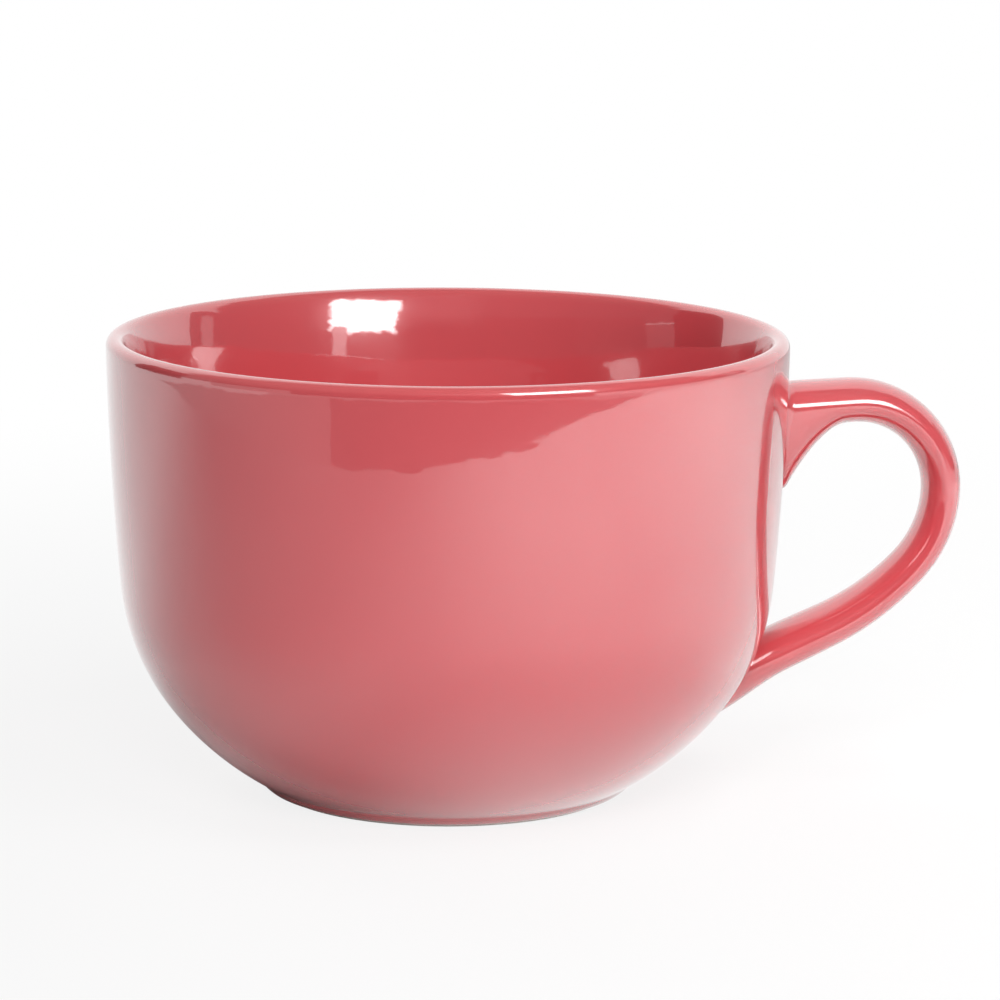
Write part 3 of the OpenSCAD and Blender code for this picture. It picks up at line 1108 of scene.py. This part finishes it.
# Each lamp: name, place, the point it faces, width and height in metres, spread in degrees, power in watts
LAMPS = (
    ("key_light", (0.04, -0.97, 0.65), (0, 0, 0.05), 0.5, 0.5, 180, 8.2),
    ("high_light", (0.40, -0.45, 0.85), (0, 0, 0.06), 0.5, 0.5, 180, 4.0),
    ("table_light", (0.48, 0, 1.00), (0.48, 0, 0), 0.5, 0.5, 45, 1.0),
    ("back_light", (-0.5, 0.8, 0.6), (0, 0, 0.05), 0.6, 0.6, 180, 5.0),
)


def facing_matrix(stage, at, towards):
    """The place and direction of a lamp or card that faces a point."""
    facing = (Vector(towards) - Vector(at)).to_track_quat("-Z", "Y")
    return stage_turn(stage) @ Matrix.Translation(at) @ facing.to_matrix().to_4x4()


def build_lamps(stage):
    """Soft lamps that light the mug and the table. The glaze mirrors the glows in their place."""
    for name, at, towards, width, height, spread, watts in LAMPS:
        data = bpy.data.lights.new(name, "AREA")
        data.shape = "RECTANGLE"
        data.size = width
        data.size_y = height
        data.spread = math.radians(spread)
        data.energy = watts
        obj = bpy.data.objects.new(name, data)
        obj.matrix_world = facing_matrix(stage, at, towards)
        obj.visible_camera = False
        obj.visible_glossy = False
        bpy.context.scene.collection.objects.link(obj)


# Each glow: name, place, the point it faces, width and height in metres, soft edge, brightness
GLOWS = (
    ("window_glow", (0.467, -0.673, 0.454), (-0.009, 0.060, 0.083), 0.525, 0.505, 0.035, 8.5),
    ("stand_glow", (0.616, -0.635, 0.243), (-0.014, 0.057, 0.078), 0.16, 0.25, 0.02, 1.5),
    ("door_glow", (0.864, 0.255, 0.272), (-0.042, 0.042, 0.083), 0.17, 0.34, 0.02, 0.6),
    ("ceiling", (0, -0.75, 0.75), (0, -0.75, 0), 4.4, 2.5, 0.15, 0.16),
)


def build_glows(stage):
    """Bright cards with soft edges that only the glaze's reflections see."""
    for name, at, towards, width, height, edge, brightness in GLOWS:
        bm = bmesh.new()
        bmesh.ops.create_grid(
            bm, x_segments=1, y_segments=1, size=0.5, matrix=Matrix.Diagonal((width, height, 1, 1)))
        material = glow_material(name, width, height, edge, brightness)
        obj = stage_object(name, bm, material, stage)
        obj.matrix_world = facing_matrix(stage, at, towards)
        only_mirrored(obj)


# How often a glow's edge wavers, and how far, both for a soft edge of one metre
WAVER_SCALE = 0.6
WAVER_REACH = 2.5


def glow_material(name, width, height, edge, brightness):
    """An even glow that fades out at its edges, which waver a little."""
    material = bpy.data.materials.new(name)
    material.use_nodes = True
    tree = material.node_tree
    where = tree.nodes.new("ShaderNodeTexCoord").outputs["Object"]
    noise = tree.nodes.new("ShaderNodeTexNoise")
    noise.inputs["Scale"].default_value = WAVER_SCALE / edge
    tree.links.new(where, noise.inputs["Vector"])
    swing = math_node(tree, "SUBTRACT", noise.outputs["Fac"], 0.5)
    waver = math_node(tree, "MULTIPLY", swing, WAVER_REACH * edge)
    axes = tree.nodes.new("ShaderNodeSeparateXYZ")
    tree.links.new(where, axes.inputs["Vector"])
    share = None
    for axis, size in (("X", width), ("Y", height)):
        off = math_node(tree, "ADD", math_node(tree, "ABSOLUTE", axes.outputs[axis], 0), waver)
        inside = range_node(tree, off, size / 2 - 2 * edge, size / 2 - edge, 1, 0)
        share = math_node(tree, "MULTIPLY", share, inside) if share else inside
    clear = tree.nodes.new("ShaderNodeBsdfTransparent")
    glow = tree.nodes.new("ShaderNodeEmission")
    glow.inputs["Strength"].default_value = brightness
    both = mix_shaders(tree, share, clear.outputs["BSDF"], glow.outputs["Emission"])
    tree.links.new(both, tree.nodes["Material Output"].inputs["Surface"])
    return material


def build_room(scene, stage):
    """An even white room: white to the camera and to reflections, softer as a light."""
    world = bpy.data.worlds.new("room")
    world.use_nodes = True
    tree = world.node_tree
    room = tree.nodes["Background"]
    room.inputs["Color"].default_value = (1, 1, 1, 1)
    path = tree.nodes.new("ShaderNodeLightPath")
    seen = math_node(tree, "MAXIMUM", path.outputs["Is Camera Ray"], shiny_ray(tree, path))
    tree.links.new(range_node(tree, seen, 0, 1, stage.room_light, 1), room.inputs["Strength"])
    scene.world = world


def build_camera(scene, stage):
    """The camera, at the angle from which the mug was photographed."""
    data = bpy.data.cameras.new("camera")
    data.lens = stage.camera_lens
    data.sensor_width = SENSOR_WIDTH
    camera = bpy.data.objects.new("camera", data)
    looking = (
        Matrix.Rotation(-stage.camera_yaw, 4, "Z")
        @ Matrix.Rotation(math.pi / 2 - stage.camera_pitch, 4, "X")
        @ Matrix.Rotation(stage.camera_roll, 4, "Z"))
    camera.matrix_world = stage_turn(stage) @ Matrix.Translation(stage.camera_place) @ looking
    scene.collection.objects.link(camera)
    scene.camera = camera


# Panel and registration

class MUG_PT_panel(bpy.types.Panel):
    """Lists the mug's pieces and sizes"""

    bl_idname = "MUG_PT_panel"
    bl_label = "Soup Mug"
    bl_space_type = "VIEW_3D"
    bl_region_type = "UI"
    bl_category = "Soup Mug"

    def draw(self, context):
        for operator in OPERATORS:
            self.layout.operator(operator.bl_idname)
        for name, group in GROUPS.items():
            box = self.layout.box()
            box.label(text=group.__doc__)
            for prop in group.__annotations__:
                box.prop(getattr(context.scene, name), prop)


GROUPS = {
    "mug_cup": MugCupSizes,
    "mug_foot": MugFootSizes,
    "mug_handle": MugHandleSizes,
    "mug_slip": MugSlipSizes,
    "mug_look": MugGlazeLook,
    "mug_stage": MugStageSizes,
}
OPERATORS = (MUG_OT_cup, MUG_OT_foot_ring, MUG_OT_handle, MUG_OT_slips, MUG_OT_stage)
CLASSES = (*GROUPS.values(), *OPERATORS, MUG_PT_panel)


def register():
    for cls in CLASSES:
        bpy.utils.register_class(cls)
    for name, group in GROUPS.items():
        setattr(bpy.types.Scene, name, bpy.props.PointerProperty(type=group))


def unregister():
    for name in GROUPS:
        delattr(bpy.types.Scene, name)
    for cls in reversed(CLASSES):
        bpy.utils.unregister_class(cls)


def main():
    register()
    bpy.ops.mug.stage()
    bpy.ops.mug.cup()
    bpy.ops.mug.foot_ring()
    bpy.ops.mug.handle()
    bpy.ops.mug.slips()
    bpy.context.view_layer.update()


if __name__ == "__main__":
    main()
